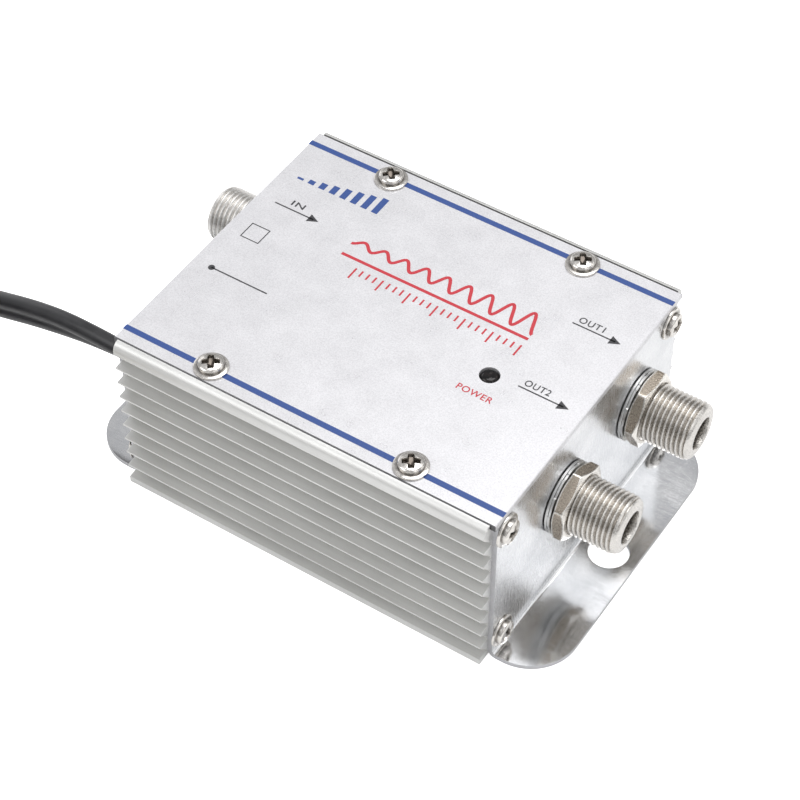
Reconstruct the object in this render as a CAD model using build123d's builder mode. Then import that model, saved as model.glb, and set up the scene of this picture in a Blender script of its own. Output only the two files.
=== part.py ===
from build123d import *
from math import cos, pi, radians, sin, sqrt, tan
import os

# A small aluminium amplifier for aerial signals: one input, two outputs and a mains cord.
# All sizes are in millimetres. The origin is the middle of the underside, +X points out of
# the two output sockets, -Y is the long side nearest to the mains cord, and +Z is up.

# Cuts and fits
overrun = 1.0
slip_gap = 0.05

# Case, drawn out along X
case_length = 64.9
case_height = 31.5
root_half = 26.4
side_wall = 1.5
case_floor = 1.5

# Ribs and lip along both long sides
rib_count = 9
rib_reach = 2.0
rib_tip = 0.3
rib_rise = 0.2
rib_valley = 0.49
lowest_rib = 0.64
foot_band = 1.2
lip_reach = 2.1
lip_band = 0.56
lip_dome = 1.6
lip_valley = 0.29
seam_reach = 0.75
seam_gap = 0.15

# Screw channels in the four inner corners
channel_inset = 1.0
channel_rise = 4.2
channel_drop = 3.7
channel_radius = 1.5
channel_slot = 1.0
block_reach = 3.9
block_height = 5.5

# Top cover
cover_thickness = 1.0
cover_chamfer = 0.12
cover_screw_x = 17.5
cover_screw_inset = 0.8
screw_hole_radius = 1.65

# End plates
plate_thickness = 0.8
plate_inset = 0.2
plate_corner = 1.5
bend_radius = 0.7
flange_reach = 9.75
flange_corner = 8.1
flange_hole_reach = 4.95
flange_hole_radius = 3.25

# Pan head screws
rim_radius = 2.65
rim_height = 0.45
head_radius = 2.25
head_height = 1.75
head_crown = 1.1
shank_radius = 1.45
recess_length = 2.7
recess_width = 0.7
recess_depth = 1.0
cover_screw_length = 5.5
plate_screw_length = 8.0
cover_screw_turns = (52.0, 20.0, 78.0, 33.0)
plate_screw_turns = (15.0, 60.0, 38.0, 80.0)

# Aerial sockets
port_height = 18.2
front_port_y = -7.0
rear_port_y = 14.7
input_port_y = 14.5
port_hole_gap = 0.15
thread_radius = 4.7625
held_thread_radius = 4.5
held_thread_margin = 0.35
port_reach = 11.35
nose_length = 1.5
nose_radius = 3.7
mouth_radius = 2.75
collar_radius = 6.4
collar_thickness = 2.0
tail_radius = 3.8
tail_length = 5.0
insulator_recess = 4.6
contact_radius = 0.5
contact_recess = 5.4
contact_reach = 3.0
flat_washer_radius = 6.5
flat_washer_thickness = 0.7
lock_washer_radius = 6.35
lock_washer_thickness = 0.6
lock_tooth_count = 12
lock_tooth_reach = 0.8
lock_tooth_width = 1.2
nut_across = 11.0
nut_thickness = 1.9
nut_chamfer_length = 0.45
nut_chamfer_reach = 0.95
front_nut_turn = 33.0
rear_nut_turn = 57.0
input_nut_turn = 10.0

# Power lamp
lamp_x = 17.6
lamp_y = -3.1
lamp_hole_radius = 1.6
lamp_radius = 1.5
lamp_height = 4.4
lamp_collar_radius = 1.9
lamp_collar_height = 0.8
lamp_lead_half = 0.64
lamp_lead_radius = 0.3

# Circuit board, in rails of the case
board_end_gap = 1.45
board_thickness = 1.6
board_gap = 0.15
rail_reach = 1.5
rail_thickness = 1.0
rail_gap = 0.1
sheet_thickness = 0.3
sheet_gap = 0.4

# Mains transformer
core_length = 24.0
core_height = 19.0
core_stack = 9.0
core_leg = 6.5
core_window_height = 12.5
bobbin_wall = 0.8
bobbin_gap = 0.15
bobbin_reach = 4.8
winding_gap = 0.3
transformer_pin_radius = 0.4
transformer_pin_count = 3
transformer_place_share = (-0.26, -0.40)

# Small parts on the board
lead_radius = 0.3
lead_bend = 0.8
diode_length = 5.2
diode_radius = 1.35
diode_span = 8.0
diode_places_share = ((0.34, -0.86), (0.34, -0.71), (0.34, -0.56), (0.34, -0.41))
fuse_length = 7.0
fuse_radius = 1.8
fuse_span = 10.0
fuse_place_share = (-0.82, -0.28)
resistor_length = 4.2
resistor_radius = 1.1
resistor_span = 6.6
resistor_columns_share = (-0.50, -0.16, 0.20)
resistor_rows_share = (0.24, 0.90)
disc_radius = 2.2
disc_thickness = 1.6
disc_lift = 1.2
disc_places_share = (
    (-0.58, 0.40), (-0.32, 0.40), (-0.06, 0.40), (0.20, 0.40), (-0.32, 0.74), (0.02, 0.74)
)
big_can_radius = 4.0
big_can_height = 12.0
big_can_place_share = (0.62, -0.72)
small_can_radius = 3.0
small_can_height = 9.0
small_can_place_share = (0.86, -0.72)
can_lead_half_share = 0.5
can_lift = 0.6
regulator_radius = 2.4
regulator_height = 4.6
regulator_flat = 1.3
regulator_lift = 2.5
regulator_place_share = (0.34, -0.08)
transistor_radius = 2.2
transistor_height = 1.6
transistor_lift = 0.8
transistor_foot = 1.4
transistor_places_share = ((-0.40, 0.57), (-0.06, 0.57))
coil_radius = 1.9
coil_bore = 1.2
coil_length = 4.0
coil_places_share = ((-0.23, 0.57), (0.10, 0.57), (-0.58, 0.72))
splitter_length = 5.0
splitter_width = 6.4
splitter_height = 3.6
splitter_bore = 0.9
splitter_place_share = (0.30, 0.60)

# Mains cord: flat, two cores, its wide side upright
cord_width = 4.8
cord_thickness = 2.8
exit_y = -18.3
exit_z = 17.0
relief_reach = 6.0
relief_collar_length = 1.6
relief_collar_margin = 1.6
relief_neck_margin = 0.5
relief_tip_margin = 0.2
relief_tail_length = 3.0
core_wire_radius = 0.8
core_wire_half = 1.0
core_wire_inner_reach = 3.0
cord_route = (
    (-45.0, -18.3, 17.0),
    (-52.5, -17.9, 15.7),
    (-60.0, -17.1, 13.1),
    (-67.7, -16.0, 9.6),
    (-75.5, -14.5, 5.9),
    (-82.5, -13.4, 3.6),
)

# The rest of the cord, coiled on the floor past the edge of the view
coil_centre = (-97.0, -39.3)
coil_outer = 26.3
coil_turns = 6.5
turn_pitch = 3.35
layer_step = 5.35
climb_turns = 0.5
coil_steps_per_turn = 4
tie_thickness = 0.4
tie_width = 4.0
tie_gap = 0.05
tie_lug_length = 5.0

# Plug at the end of the coil
plug_width = 22.0
plug_length = 19.0
plug_corner = 2.5
plug_lead = 11.0
plug_tail_length = 12.0
plug_tail_margin = 0.8
plug_tail_end_margin = 3.0
blade_spacing = 12.7
blade_width = 6.35
blade_thickness = 1.5
blade_length = 17.0
blade_root = 6.0

# How far each bend of a cord is rounded, as a share of the shorter run beside it
bend_share = 0.45

# Places that follow from the sizes
case_end = case_length / 2
wall_inner = root_half - side_wall
tip_half = root_half + rib_reach
lip_half = root_half + lip_reach
lip_low = case_height - lip_dome - lip_band
rib_pitch = (lip_low - lowest_rib) / rib_count
rib_drop = rib_pitch - rib_tip - rib_rise - rib_valley
lip_drop = rib_pitch - rib_tip - rib_rise - lip_valley
seam_half = root_half + seam_reach
ledge = case_height - cover_thickness
block_half = wall_inner - block_reach
channel_half = wall_inner - channel_inset
channel_heights = (channel_rise, case_height - channel_drop)
cover_screw_y = wall_inner - cover_screw_inset
plate_half = root_half - plate_inset
board_length = case_length - 2 * board_end_gap
board_seat = case_floor + block_height
board_top = board_seat + board_thickness
board_half = wall_inner - board_gap
board_end = board_length / 2
plate_face = case_end + plate_thickness
cover_half = seam_half - seam_gap
nut_seat = flat_washer_thickness + lock_washer_thickness
cord_seat = tie_thickness + tie_gap + cord_width / 2


def on_board(share):
    """A point of the board's top, from its shares of the board's half length and half width."""
    return Location((share[0] * board_end, share[1] * board_half, board_top))


def socket_plane(side, y):
    """The seat of a socket on the inner face of an end plate, with Z along the socket."""
    return Plane(origin=(side * case_end, y, port_height), x_dir=(0, 1, 0), z_dir=(side, 0, 0))


def turned(plane, degrees):
    """A plane's place, turned about its own Z."""
    return plane.location * Rotation(0, 0, degrees)


input_port = socket_plane(-1, input_port_y)
front_port = socket_plane(1, front_port_y)
rear_port = socket_plane(1, rear_port_y)
ports = (input_port, front_port, rear_port)


# Case
def half_profile():
    """The right half of the case's section, from the middle of the floor round the ribs and lip."""
    tips = [lowest_rib + number * rib_pitch for number in range(1, rib_count)]
    lip_shoulder = lip_low + lip_band
    outer = [(0, 0), (tip_half, 0), (tip_half, foot_band), (root_half, foot_band + rib_rise)]
    for low in tips:
        outer.append((root_half, low - rib_drop))
        outer.append((tip_half, low))
        outer.append((tip_half, low + rib_tip))
        outer.append((root_half, low + rib_tip + rib_rise))
    outer += [(root_half, lip_low - lip_drop), (lip_half, lip_low), (lip_half, lip_shoulder)]
    rail_low = board_top + rail_gap
    inner = [
        (seam_half, case_height),
        (seam_half, ledge),
        (block_half, ledge),
        (block_half, ledge - block_height),
        (wall_inner, ledge - block_height),
        (wall_inner, rail_low + rail_thickness),
        (wall_inner - rail_reach, rail_low + rail_thickness),
        (wall_inner - rail_reach, rail_low),
        (wall_inner, rail_low),
        (wall_inner, board_seat),
        (block_half, board_seat),
        (block_half, case_floor),
        (0, case_floor),
    ]
    with BuildSketch() as profile:
        with BuildLine():
            Polyline(*outer)
            EllipticalCenterArc((seam_half, lip_shoulder), lip_half - seam_half, lip_dome, arc_size=90)
            Polyline(*inner, (0, 0))
        make_face()
    return profile.sketch


with BuildPart() as housing:
    with BuildSketch(Plane.YZ.offset(-case_end)):
        add(half_profile())
    extrude(amount=case_length)
    mirror(about=Plane.XZ)
    with BuildSketch(Plane.YZ.offset(-case_end - overrun)):
        for side in (-1, 1):
            for height in channel_heights:
                with Locations((side * channel_half, height)):
                    Circle(channel_radius)
                with Locations((side * (channel_half + block_half - overrun) / 2, height)):
                    Rectangle(channel_half - block_half + overrun, channel_slot)
    extrude(amount=case_length + 2 * overrun, mode=Mode.SUBTRACT)
    with BuildSketch(Plane.XY.offset(ledge + overrun)):
        with GridLocations(2 * cover_screw_x, 2 * cover_screw_y, 2, 2):
            Circle(channel_radius)
    extrude(amount=-(overrun + block_height), mode=Mode.SUBTRACT)

# Cover
with BuildPart() as top_cover:
    with BuildSketch(Plane.XY.offset(ledge)):
        Rectangle(2 * plate_face, 2 * cover_half)
        with GridLocations(2 * cover_screw_x, 2 * cover_screw_y, 2, 2):
            Circle(screw_hole_radius, mode=Mode.SUBTRACT)
        with Locations((lamp_x, lamp_y)):
            Circle(lamp_hole_radius, mode=Mode.SUBTRACT)
    extrude(amount=cover_thickness)
    top_rim = top_cover.faces().sort_by(Axis.Z)[-1].outer_wire().edges()
    chamfer(top_rim, length=cover_chamfer)


# End plates
def plate_screw_places():
    """The four screws of a plate, as places across and up."""
    return [(side * channel_half, height) for side in (-1, 1) for height in channel_heights]


def bend_edge(edges, x):
    """The lowest of some edges at a place along X."""
    return edges.filter_by_position(Axis.X, x - slip_gap, x + slip_gap).sort_by(Axis.Z)[0]


def end_plate(socket_places):
    """A plate on the +X end of the case with its flange bent outwards at the foot."""
    flange_end = plate_face + flange_reach
    with BuildPart() as plate:
        with BuildSketch(Plane.XZ):
            with BuildLine():
                Polyline(
                    (case_end, 0),
                    (flange_end, 0),
                    (flange_end, plate_thickness),
                    (plate_face, plate_thickness),
                    (plate_face, ledge),
                    (case_end, ledge),
                    close=True,
                )
            make_face()
        extrude(amount=plate_half, both=True)
        across = plate.edges().filter_by(Axis.Y)
        inner_bend = bend_edge(across, plate_face)
        outer_bend = bend_edge(across, case_end)
        fillet(inner_bend, radius=bend_radius)
        fillet(outer_bend, radius=bend_radius + plate_thickness)
        fillet(plate.edges().filter_by(Axis.Z).sort_by(Axis.X)[-2:], radius=flange_corner)
        fillet(plate.edges().filter_by(Axis.X).sort_by(Axis.Z)[-2:], radius=plate_corner)
        with BuildSketch(Plane.XY.offset(-overrun)):
            with Locations((plate_face + flange_hole_reach, 0)):
                Circle(flange_hole_radius)
        extrude(amount=plate_thickness + 2 * overrun, mode=Mode.SUBTRACT)
        with BuildSketch(Plane.YZ.offset(case_end - overrun)):
            with Locations(*[(y, port_height) for y in socket_places]):
                Circle(thread_radius + port_hole_gap)
            with Locations(*plate_screw_places()):
                Circle(screw_hole_radius)
        extrude(amount=plate_thickness + 2 * overrun, mode=Mode.SUBTRACT)
    return plate.part


with BuildPart() as output_end_plate:
    add(end_plate((front_port_y, rear_port_y)))

with BuildPart() as input_end_plate:
    add(end_plate((input_port_y,)).mirror(Plane.YZ))
    with BuildSketch(Plane.YZ.offset(-case_end + overrun)):
        with Locations((exit_y, exit_z)):
            SlotOverall(
                cord_width + 2 * relief_neck_margin, cord_thickness + 2 * relief_neck_margin, rotation=90
            )
    extrude(amount=-(plate_thickness + 2 * overrun), mode=Mode.SUBTRACT)


# Screws
def pan_screw(length):
    """A pan head screw with a flat rim, seated on Z = 0 with its shank below."""
    with BuildPart() as screw:
        with BuildSketch(Plane.XZ):
            with BuildLine():
                Polyline(
                    (0, head_height),
                    (0, -length),
                    (shank_radius, -length),
                    (shank_radius, 0),
                    (rim_radius, 0),
                    (rim_radius, rim_height / 2),
                    (head_radius, rim_height),
                    (head_radius, head_crown),
                )
                EllipticalCenterArc((0, head_crown), head_radius, head_height - head_crown, arc_size=90)
            make_face()
        revolve(axis=Axis.Z)
        with BuildSketch(Plane.XY.offset(head_height)):
            Rectangle(recess_length, recess_width)
            Rectangle(recess_width, recess_length)
        extrude(amount=-recess_depth, mode=Mode.SUBTRACT)
    return screw.part


def plate_screw_seats(side):
    """The seats of the four screws on an end plate's outer face, each turned its own way."""
    seats = []
    for (y, z), turn in zip(plate_screw_places(), plate_screw_turns):
        face = Plane(origin=(side * plate_face, y, z), x_dir=(0, 1, 0), z_dir=(side, 0, 0))
        seats.append(turned(face, turn))
    return seats


def cover_screw_seats():
    """The seats of the four screws on the cover, each turned its own way."""
    corners = [(i * cover_screw_x, j * cover_screw_y) for i in (-1, 1) for j in (-1, 1)]
    return [Location((x, y, case_height), (0, 0, turn)) for (x, y), turn in zip(corners, cover_screw_turns)]


cover_screw = pan_screw(cover_screw_length)
plate_screw = pan_screw(plate_screw_length)

with BuildPart() as cover_screws:
    with Locations(*cover_screw_seats()):
        add(cover_screw)

with BuildPart() as output_plate_screws:
    with Locations(*plate_screw_seats(1)):
        add(plate_screw)

with BuildPart() as input_plate_screws:
    with Locations(*plate_screw_seats(-1)):
        add(plate_screw)


# Aerial sockets
def socket_body():
    """A threaded socket along Z, held by its collar behind the plate, which starts at Z = 0."""
    held_end = plate_thickness + nut_seat + nut_thickness + held_thread_margin
    nose = plate_thickness + port_reach
    with BuildPart() as body:
        with BuildSketch(Plane.XZ):
            with BuildLine():
                Polyline(
                    (mouth_radius, -collar_thickness - tail_length),
                    (tail_radius, -collar_thickness - tail_length),
                    (tail_radius, -collar_thickness),
                    (collar_radius, -collar_thickness),
                    (collar_radius, 0),
                    (held_thread_radius, 0),
                    (held_thread_radius, held_end),
                    (thread_radius, held_end),
                    (thread_radius, nose - nose_length),
                    (nose_radius, nose),
                    (mouth_radius, nose),
                    close=True,
                )
            make_face()
        revolve(axis=Axis.Z)
    return body.part


socket = socket_body()

with BuildPart() as input_connector_body:
    with Locations(input_port):
        add(socket)

with BuildPart() as front_output_connector_body:
    with Locations(front_port):
        add(socket)

with BuildPart() as rear_output_connector_body:
    with Locations(rear_port):
        add(socket)

with BuildPart() as connector_flat_washers:
    for port in ports:
        with BuildSketch(port.offset(plate_thickness)):
            Circle(flat_washer_radius)
            Circle(thread_radius + port_hole_gap, mode=Mode.SUBTRACT)
        extrude(amount=flat_washer_thickness)

with BuildPart() as connector_lock_washers:
    for port in ports:
        with BuildSketch(port.offset(plate_thickness + flat_washer_thickness)):
            Circle(lock_washer_radius)
            Circle(thread_radius + port_hole_gap + lock_tooth_reach, mode=Mode.SUBTRACT)
            with PolarLocations(thread_radius + port_hole_gap + lock_tooth_reach, lock_tooth_count):
                Rectangle(2 * lock_tooth_reach, lock_tooth_width)
            Circle(thread_radius + port_hole_gap, mode=Mode.SUBTRACT)
        extrude(amount=lock_washer_thickness)


def socket_nut():
    """A hexagon nut with both ends chamfered, its seat at Z = 0."""
    corner = nut_across / 2 / cos(pi / 6)
    with BuildPart() as nut:
        with BuildSketch():
            RegularPolygon(radius=corner, side_count=6)
        extrude(amount=nut_thickness)
        with BuildSketch(Plane.XZ):
            with BuildLine():
                Polyline(
                    (held_thread_radius + slip_gap, 0),
                    (corner - nut_chamfer_reach, 0),
                    (corner, nut_chamfer_length),
                    (corner, nut_thickness - nut_chamfer_length),
                    (corner - nut_chamfer_reach, nut_thickness),
                    (held_thread_radius + slip_gap, nut_thickness),
                    close=True,
                )
            make_face()
        revolve(axis=Axis.Z, mode=Mode.INTERSECT)
    return nut.part


nut_turns = (input_nut_turn, front_nut_turn, rear_nut_turn)

with BuildPart() as connector_nuts:
    hexagon_nut = socket_nut()
    for port, turn in zip(ports, nut_turns):
        with Locations(turned(port.offset(plate_thickness + nut_seat), turn)):
            add(hexagon_nut)

with BuildPart() as connector_insulators:
    for port in ports:
        with BuildSketch(port.offset(-collar_thickness - tail_length)):
            Circle(mouth_radius - slip_gap)
            Circle(contact_radius + slip_gap, mode=Mode.SUBTRACT)
        extrude(amount=collar_thickness + tail_length + plate_thickness + port_reach - insulator_recess)


def socket_contact(port, side):
    """A centre contact that runs back through its insulator and bends down to the board."""
    y = port.origin.Y
    front = side * (plate_face + port_reach - contact_recess)
    back = side * (case_end - collar_thickness - tail_length - contact_reach)
    with BuildPart() as contact:
        with BuildLine() as path:
            FilletPolyline(
                (back, y, board_top),
                (back, y, port_height),
                (front, y, port_height),
                radius=2 * contact_radius,
            )
        with BuildSketch(Plane(origin=path.line @ 0, z_dir=path.line % 0)):
            Circle(contact_radius)
        sweep()
    return contact.part


with BuildPart() as connector_contacts:
    for port, side in zip(ports, (-1, 1, 1)):
        add(socket_contact(port, side))

# Power lamp
with BuildPart() as power_lamp:
    with BuildSketch(Plane.XY.offset(case_height - lamp_height)):
        with Locations((lamp_x, lamp_y)):
            Circle(lamp_radius)
    extrude(amount=lamp_height)
    fillet(power_lamp.edges().sort_by(Axis.Z)[-1], radius=lamp_radius / 2)
    with BuildSketch(Plane.XY.offset(case_height - lamp_height)):
        with Locations((lamp_x, lamp_y)):
            Circle(lamp_collar_radius)
    extrude(amount=lamp_collar_height)

with BuildPart() as power_lamp_leads:
    with BuildSketch(Plane.XY.offset(board_top)):
        with Locations((lamp_x - 2 * lamp_lead_half, lamp_y), (lamp_x + 2 * lamp_lead_half, lamp_y)):
            Circle(lamp_lead_radius)
    extrude(amount=case_height - lamp_height - board_top)

# Circuit board and the sheet under it
with BuildPart() as circuit_board:
    with BuildSketch(Plane.XY.offset(board_seat)):
        Rectangle(board_length, 2 * board_half)
    extrude(amount=board_thickness)

with BuildPart() as board_insulating_sheet:
    with BuildSketch(Plane.XY.offset(case_floor)):
        Rectangle(board_length, 2 * (block_half - sheet_gap))
    extrude(amount=sheet_thickness)

# Mains transformer
core_place = on_board(transformer_place_share).position
core_yoke = (core_height - core_window_height) / 2
core_window = (core_length - 2 * core_leg) / 2
bobbin_inner = (core_leg + 2 * bobbin_gap, core_stack + 2 * bobbin_gap)
bobbin_tube = (bobbin_inner[0] + 2 * bobbin_wall, bobbin_inner[1] + 2 * bobbin_wall)
bobbin_outer = (core_leg + 2 * (core_window - bobbin_gap), core_stack + 2 * bobbin_reach)
bobbin_base = board_top + core_yoke + bobbin_gap
bobbin_height = core_window_height - 2 * bobbin_gap
bobbin_room = (bobbin_height - 3 * bobbin_wall) / 2


def above(height):
    """The level plane at a height, centred on the transformer."""
    return Plane(origin=(core_place.X, core_place.Y, height))


with BuildPart() as transformer_core:
    core_middle = (core_place.X, core_place.Y, board_top + core_height / 2)
    with BuildSketch(Plane(origin=core_middle, x_dir=(1, 0, 0), z_dir=(0, -1, 0))):
        Rectangle(core_length, core_height)
        with GridLocations(core_leg + core_window, 0, 2, 1):
            Rectangle(core_window, core_window_height, mode=Mode.SUBTRACT)
    extrude(amount=core_stack / 2, both=True)

with BuildPart() as transformer_bobbin:
    with BuildSketch(above(bobbin_base)):
        Rectangle(*bobbin_tube)
    extrude(amount=bobbin_height)
    for level in (0, bobbin_wall + bobbin_room, bobbin_height - bobbin_wall):
        with BuildSketch(above(bobbin_base + level)):
            Rectangle(*bobbin_outer)
        extrude(amount=bobbin_wall)
    with BuildSketch(above(bobbin_base - overrun)):
        Rectangle(*bobbin_inner)
    extrude(amount=bobbin_height + 2 * overrun, mode=Mode.SUBTRACT)

with BuildPart() as transformer_windings:
    for level in (bobbin_wall, 2 * bobbin_wall + bobbin_room):
        with BuildSketch(above(bobbin_base + level)):
            Rectangle(bobbin_outer[0] - 2 * winding_gap, bobbin_outer[1] - 2 * winding_gap)
            Rectangle(*bobbin_tube, mode=Mode.SUBTRACT)
        extrude(amount=bobbin_room)

with BuildPart() as transformer_pins:
    with BuildSketch(above(board_top)):
        pin_row = core_stack + bobbin_reach
        with GridLocations(bobbin_tube[0] / 2, pin_row, transformer_pin_count, 2):
            Circle(transformer_pin_radius)
    extrude(amount=bobbin_base - board_top)


# Parts with wire ends
def axial_part(length, radius, span, lift):
    """A body along X on two wire ends that bend down to the board."""
    with BuildPart() as piece:
        with BuildLine() as wire:
            FilletPolyline(
                (-span / 2, 0, 0),
                (-span / 2, 0, lift),
                (span / 2, 0, lift),
                (span / 2, 0, 0),
                radius=lead_bend,
            )
        with BuildSketch(Plane(origin=wire.line @ 0, z_dir=wire.line % 0)):
            Circle(lead_radius)
        sweep()
        with BuildSketch(Plane(origin=(-length / 2, 0, lift), z_dir=(1, 0, 0))):
            Circle(radius)
        extrude(amount=length)
    return piece.part


with BuildPart() as rectifier_diodes:
    with Locations(*[on_board(share) for share in diode_places_share]):
        add(axial_part(diode_length, diode_radius, diode_span, diode_radius))

with BuildPart() as input_fuse:
    with Locations(on_board(fuse_place_share) * Rotation(0, 0, 90)):
        add(axial_part(fuse_length, fuse_radius, fuse_span, fuse_radius))

with BuildPart() as resistors:
    with Locations(*[on_board((i, j)) for j in resistor_rows_share for i in resistor_columns_share]):
        add(axial_part(resistor_length, resistor_radius, resistor_span, resistor_radius))


def upright_can(share, radius, height):
    """A round capacitor that stands on two wire ends."""
    place = on_board(share).position
    with BuildPart() as can:
        with BuildSketch(Plane(origin=place + Vector(0, 0, can_lift))):
            Circle(radius)
        extrude(amount=height)
        with BuildSketch(Plane(origin=place)):
            with GridLocations(2 * radius * can_lead_half_share, 0, 2, 1):
                Circle(lead_radius)
        extrude(amount=can_lift)
    return can.part


with BuildPart() as smoothing_capacitors:
    add(upright_can(big_can_place_share, big_can_radius, big_can_height))
    add(upright_can(small_can_place_share, small_can_radius, small_can_height))

with BuildPart() as ceramic_capacitors:
    for share in disc_places_share:
        place = on_board(share).position
        with BuildSketch(Plane(origin=place + Vector(0, 0, disc_lift + disc_radius), z_dir=(0, 1, 0))):
            Circle(disc_radius)
        extrude(amount=disc_thickness / 2, both=True)
        with BuildSketch(Plane(origin=place)):
            with GridLocations(disc_radius, 0, 2, 1):
                Circle(lead_radius)
        extrude(amount=disc_lift + disc_radius)

with BuildPart() as voltage_regulator:
    regulator_place = on_board(regulator_place_share).position
    with BuildSketch(Plane(origin=regulator_place + Vector(0, 0, regulator_lift))):
        Circle(regulator_radius)
        with Locations((0, regulator_flat + regulator_radius)):
            Rectangle(2 * regulator_radius, 2 * regulator_radius, mode=Mode.SUBTRACT)
    extrude(amount=regulator_height)
    with BuildSketch(Plane(origin=regulator_place)):
        with GridLocations(regulator_radius / 2, 0, 3, 1):
            Circle(lead_radius)
    extrude(amount=regulator_lift)

with BuildPart() as amplifier_transistors:
    for share in transistor_places_share:
        place = on_board(share).position
        with BuildSketch(Plane(origin=place + Vector(0, 0, transistor_lift))):
            Circle(transistor_radius)
        extrude(amount=transistor_height)
        with BuildSketch(Plane(origin=place)):
            with PolarLocations(transistor_radius, 4):
                Rectangle(transistor_foot, 2 * lead_radius)
        extrude(amount=transistor_lift)

with BuildPart() as rf_coils:
    for share in coil_places_share:
        place = on_board(share).position
        with BuildSketch(Plane(origin=place + Vector(0, 0, coil_radius), z_dir=(0, 1, 0))):
            Circle(coil_radius)
            Circle(coil_bore, mode=Mode.SUBTRACT)
        extrude(amount=coil_length / 2, both=True)

with BuildPart() as splitter_core:
    splitter_middle = on_board(splitter_place_share).position + Vector(0, 0, splitter_height / 2)
    with BuildSketch(Plane(origin=splitter_middle, x_dir=(0, 1, 0), z_dir=(1, 0, 0))):
        SlotOverall(splitter_width, splitter_height)
        with GridLocations(splitter_width - splitter_height, 0, 2, 1):
            Circle(splitter_bore, mode=Mode.SUBTRACT)
    extrude(amount=splitter_length / 2, both=True)


# Strain relief and the wires inside
def cord_outline(margin):
    """The cord's flat section with its wide side upright, widened by a margin."""
    with BuildSketch() as outline:
        SlotOverall(cord_width + 2 * margin, cord_thickness + 2 * margin, rotation=90)
    return outline.sketch


def exit_plane(x):
    """The plane across the cord's way out at a place along X, facing away from the case."""
    return Plane(origin=(x, exit_y, exit_z), x_dir=(0, -1, 0), z_dir=(-1, 0, 0))


relief_end = -plate_face - relief_reach

with BuildPart() as cord_grommet:
    with BuildSketch(exit_plane(-case_end + relief_tail_length)):
        add(cord_outline(relief_neck_margin - slip_gap))
    extrude(amount=relief_tail_length + plate_thickness)
    with BuildSketch(exit_plane(-plate_face)):
        add(cord_outline(relief_collar_margin))
    extrude(amount=relief_collar_length)
    with BuildSketch(exit_plane(-plate_face - relief_collar_length)):
        add(cord_outline(relief_neck_margin))
    with BuildSketch(exit_plane(relief_end)):
        add(cord_outline(relief_tip_margin))
    loft()


def core_wire(offset):
    """One insulated wire from the back of the strain relief down to the board."""
    start = Vector(-case_end + relief_tail_length, exit_y + offset, exit_z)
    corner = start + Vector(core_wire_inner_reach, 0, 0)
    foot = Vector(corner.X, corner.Y, board_top)
    with BuildPart() as wire:
        with BuildLine() as path:
            FilletPolyline(start, corner, foot, radius=2 * core_wire_radius)
        with BuildSketch(Plane(origin=start, z_dir=(1, 0, 0))):
            Circle(core_wire_radius)
        sweep()
    return wire.part


with BuildPart() as cord_leads:
    for offset in (-core_wire_half, core_wire_half):
        add(core_wire(offset))


# Free stretch of the cord
def arc_radii(points):
    """For each corner of a route, a share of its shorter run divided by the tangent of half its turn."""
    radii = []
    for before, here, after in zip(points, points[1:], points[2:]):
        run_in = here - before
        run_out = after - here
        half_turn = radians(run_in.get_angle(run_out)) / 2
        radii.append(bend_share * min(run_in.length, run_out.length) / tan(half_turn))
    return radii


coil_start = Vector(coil_centre[0], coil_centre[1] + coil_outer, cord_seat)
coil_mouth = coil_start + Vector(cord_width, 0, 0)
cord_points = [Vector(relief_end, exit_y, exit_z)]
cord_points += [Vector(*point) for point in cord_route]
cord_points += [coil_mouth + Vector(cord_width, 0, 0), coil_mouth]
cord_radii = arc_radii(cord_points)

with BuildPart() as power_cord:
    with BuildLine() as cord_path:
        FilletPolyline(*cord_points, radius=cord_radii)
    with BuildSketch(exit_plane(relief_end)):
        add(cord_outline(0))
    sweep(path=cord_path.line)


# Coiled rest of the cord
def coil_point(turns):
    """A point of the coil's middle line, after so many turns from where the coil begins."""
    half = coil_turns / 2
    inward = half - abs(turns - half)
    radius = coil_outer - turn_pitch * inward
    angle = pi / 2 + 2 * pi * turns
    climb = min(max((turns - half) / climb_turns + 0.5, 0), 1)
    rise = layer_step * (1 - cos(pi * climb)) / 2
    return Vector(
        coil_centre[0] + radius * cos(angle), coil_centre[1] + radius * sin(angle), cord_seat + rise
    )


def coil_way(turns):
    """The direction of the coil's middle line, level and square to the radius at both ends."""
    step = 1 / 64 / coil_steps_per_turn
    if turns in (0, coil_turns):
        angle = pi / 2 + 2 * pi * turns
        return Vector(-sin(angle), cos(angle), 0)
    return (coil_point(turns + step) - coil_point(turns - step)).normalized()


def biarc(start, start_way, end, end_way):
    """Two arcs that leave the start and reach the end in the given directions, with no kink."""
    chord = end - start
    both = start_way + end_way
    spread = 2 * (1 - start_way.dot(end_way))
    along = chord.dot(both)
    reach = (sqrt(along * along + spread * chord.dot(chord)) - along) / spread
    near = start + start_way * reach
    far = end - end_way * reach
    middle = (near + far) / 2
    TangentArc(start, middle, tangent=start_way)
    TangentArc(middle, end, tangent=far - near)


coil_step_count = round(coil_turns * coil_steps_per_turn)
coil_marks = [step / coil_steps_per_turn for step in range(coil_step_count + 1)]
coil_end = coil_point(coil_turns)
plug_start = coil_end + Vector(plug_lead, 0, 0)

with BuildPart() as cord_coil:
    with BuildLine() as coil_path:
        Line(coil_mouth, coil_start)
        for mark, following in zip(coil_marks, coil_marks[1:]):
            biarc(coil_point(mark), coil_way(mark), coil_point(following), coil_way(following))
        Line(coil_end, plug_start)
    with BuildSketch(Plane(origin=coil_mouth, x_dir=(0, -1, 0), z_dir=(-1, 0, 0))):
        add(cord_outline(0))
    upright_guide = coil_path.wire().moved(Location((0, 0, coil_outer)))
    sweep(path=coil_path.wire(), binormal=upright_guide)

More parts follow.
